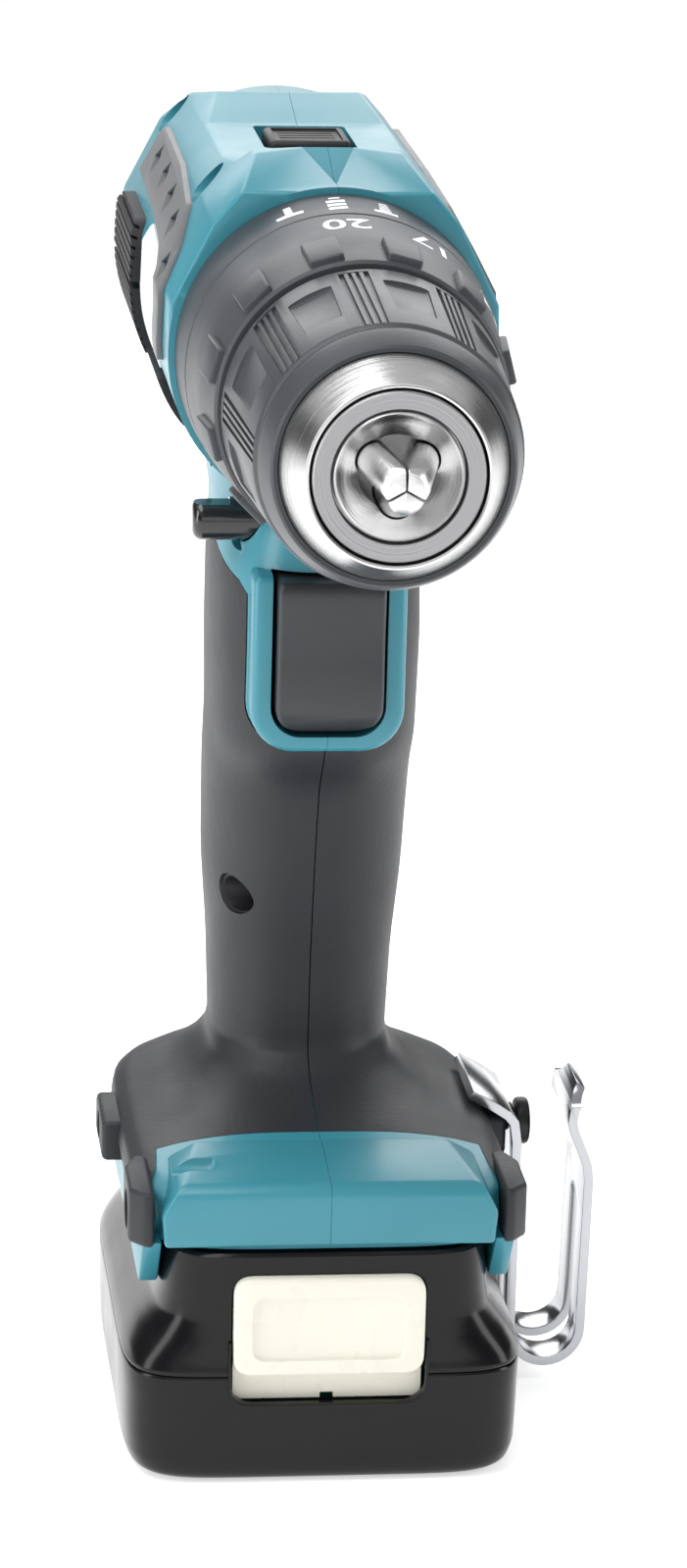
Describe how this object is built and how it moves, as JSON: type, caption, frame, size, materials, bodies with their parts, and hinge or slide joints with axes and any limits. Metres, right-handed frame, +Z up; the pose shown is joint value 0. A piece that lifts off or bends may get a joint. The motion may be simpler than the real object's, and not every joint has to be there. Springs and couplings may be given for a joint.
{
  "type": "cordless_drill",
  "caption": "Compact cordless hammer driver-drill: keyless chuck, torque and mode rings, rubber grip, trigger, slide-on battery and belt hook.",
  "frame": {"origin": "centre of the flat underside of the battery, on the surface the drill stands on", "axes": "+Z up from the battery towards the barrel; the chuck points to -Y; +X is the drill's left side, with the belt hook"},
  "size_m": [0.0832, 0.1998, 0.2104],
  "materials": {
    "teal_plastic": "moulded, satin",
    "grip_rubber": "soft overmould, fine texture",
    "bumper_rubber": "knurled",
    "trim_plastic": "moulded, matt",
    "label_film": "blank printed film",
    "screw_steel": "black oxide",
    "clear_lens": "clear",
    "circuit_board": "solder mask",
    "black_plastic": "moulded, matt",
    "case_plastic": "moulded, glossy",
    "button_plastic": "moulded, glossy",
    "cream_plastic": "moulded, satin gloss",
    "ring_plastic": "moulded, fine spark texture",
    "sleeve_plastic": "moulded, satin",
    "plated_steel": "bright plated",
    "turned_steel": "turned and polished",
    "dark_steel": "ground",
    "can_steel": "zinc plated",
    "magnet_ferrite": "sintered",
    "lamination_steel": "stacked laminations",
    "contact_brass": "bright",
    "spring_steel": "bright wire",
    "cell_wrap": "shrink wrap",
    "trigger_plastic": "moulded, satin"
  },
  "bodies": {
    "housing": {"housing_right": "teal_plastic", "housing_left": "teal_plastic", "grip_rubber_right": "grip_rubber", "grip_rubber_left": "grip_rubber", "bumper_right": "bumper_rubber", "bumper_left": "bumper_rubber", "vent_trim_right": "trim_plastic", "vent_trim_left": "trim_plastic", "label_plate_right": "label_film", "label_plate_left": "label_film", "housing_screws": "screw_steel", "lamp_lens": "clear_lens", "lamp_board": "circuit_board", "switch_body": "black_plastic", "motor_can": "can_steel", "motor_magnets": "magnet_ferrite", "motor_end_cap": "black_plastic", "motor_brushes": "contact_brass", "motor_bearings": "turned_steel", "gear_case": "dark_steel", "ring_gear": "dark_steel", "spindle_bearing": "turned_steel", "clutch_spring": "spring_steel", "terminal_block": "black_plastic", "hook_inserts": "contact_brass", "belt_hook": "plated_steel", "hook_screw": "screw_steel", "trigger_spring": "spring_steel"},
    "rotor": {"rotor": "lamination_steel", "motor_pinion": "dark_steel", "cooling_fan": "black_plastic"},
    "first_carrier": {"first_carrier": "dark_steel", "first_planets": "dark_steel"},
    "chuck": {"output_spindle": "turned_steel", "second_planets": "dark_steel", "chuck_body": "turned_steel", "chuck_front_plate": "dark_steel"},
    "chuck_sleeve": {"chuck_sleeve": "sleeve_plastic", "chuck_bevel_ring": "turned_steel", "jaw_nut": "contact_brass"},
    "jaw_1": {"jaw_1": "turned_steel"},
    "jaw_2": {"jaw_2": "turned_steel"},
    "jaw_3": {"jaw_3": "turned_steel"},
    "torque_ring": {"torque_ring": "ring_plastic"},
    "mode_ring": {"mode_ring": "ring_plastic"},
    "speed_selector": {"speed_selector": "button_plastic"},
    "trigger": {"trigger": "trigger_plastic"},
    "reversing_button": {"reversing_button": "button_plastic"},
    "battery": {"battery_lower_case": "case_plastic", "battery_upper_case": "case_plastic", "battery_cells": "cell_wrap", "battery_terminals": "contact_brass", "battery_screws": "screw_steel", "release_springs": "spring_steel"},
    "release_button": {"release_button": "cream_plastic"}
  },
  "joints": [
    {"name": "chuck_spin", "type": "hinge", "parent": "housing", "child": "chuck", "pos_m": [0, 0, 0.1805], "axis": [0, 1, 0], "continuous": true},
    {"name": "first_carrier_spin", "type": "hinge", "parent": "housing", "child": "first_carrier", "pos_m": [0, 0, 0.1805], "axis": [0, 1, 0], "continuous": true},
    {"name": "rotor_spin", "type": "hinge", "parent": "housing", "child": "rotor", "pos_m": [0, 0, 0.1805], "axis": [0, 1, 0], "continuous": true},
    {"name": "sleeve_turn", "type": "hinge", "parent": "chuck", "child": "chuck_sleeve", "pos_m": [0, 0, 0.1805], "axis": [0, 1, 0], "range_deg": [0, 1080]},
    {"name": "jaw_1_slide", "type": "slide", "parent": "chuck", "child": "jaw_1", "axis": [0, 0.9659, -0.2588], "range_m": [0, 0.0182]},
    {"name": "jaw_2_slide", "type": "slide", "parent": "chuck", "child": "jaw_2", "axis": [-0.2241, 0.9659, 0.1294], "range_m": [0, 0.0182]},
    {"name": "jaw_3_slide", "type": "slide", "parent": "chuck", "child": "jaw_3", "axis": [0.2241, 0.9659, 0.1294], "range_m": [0, 0.0182]},
    {"name": "torque_ring_turn", "type": "hinge", "parent": "housing", "child": "torque_ring", "pos_m": [0, 0, 0.1805], "axis": [0, 1, 0], "range_deg": [-209, 0]},
    {"name": "mode_ring_turn", "type": "hinge", "parent": "housing", "child": "mode_ring", "pos_m": [0, 0, 0.1805], "axis": [0, 1, 0], "range_deg": [-17.5, 17.5]},
    {"name": "speed_selector_slide", "type": "slide", "parent": "housing", "child": "speed_selector", "axis": [0, 1, 0], "range_m": [0, 0.006]},
    {"name": "trigger_pull", "type": "slide", "parent": "housing", "child": "trigger", "axis": [0, 1, 0], "range_m": [0, 0.006], "stiffness_N_per_m": 600, "springref_m": -0.002, "deforming": ["trigger_spring"]},
    {"name": "reversing_slide", "type": "slide", "parent": "housing", "child": "reversing_button", "axis": [1, 0, 0], "range_m": [0, 0.007]},
    {"name": "battery_slide", "type": "slide", "parent": "housing", "child": "battery", "axis": [0, -1, 0], "range_m": [0, 0.078]},
    {"name": "release_press", "type": "slide", "parent": "battery", "child": "release_button", "axis": [0, 1, 0], "range_m": [0, 0.0025], "stiffness_N_per_m": 500, "springref_m": -0.001, "deforming": ["release_springs"]}
  ],
  "couplings": [
    {"joint": "first_carrier_spin", "follows": "chuck_spin", "ratio": 5},
    {"joint": "rotor_spin", "follows": "chuck_spin", "ratio": 25},
    {"joint": "jaw_1_slide", "follows": "sleeve_turn", "m_per_rad": 0.00095493},
    {"joint": "jaw_2_slide", "follows": "sleeve_turn", "m_per_rad": 0.00095493},
    {"joint": "jaw_3_slide", "follows": "sleeve_turn", "m_per_rad": 0.00095493}
  ]
}
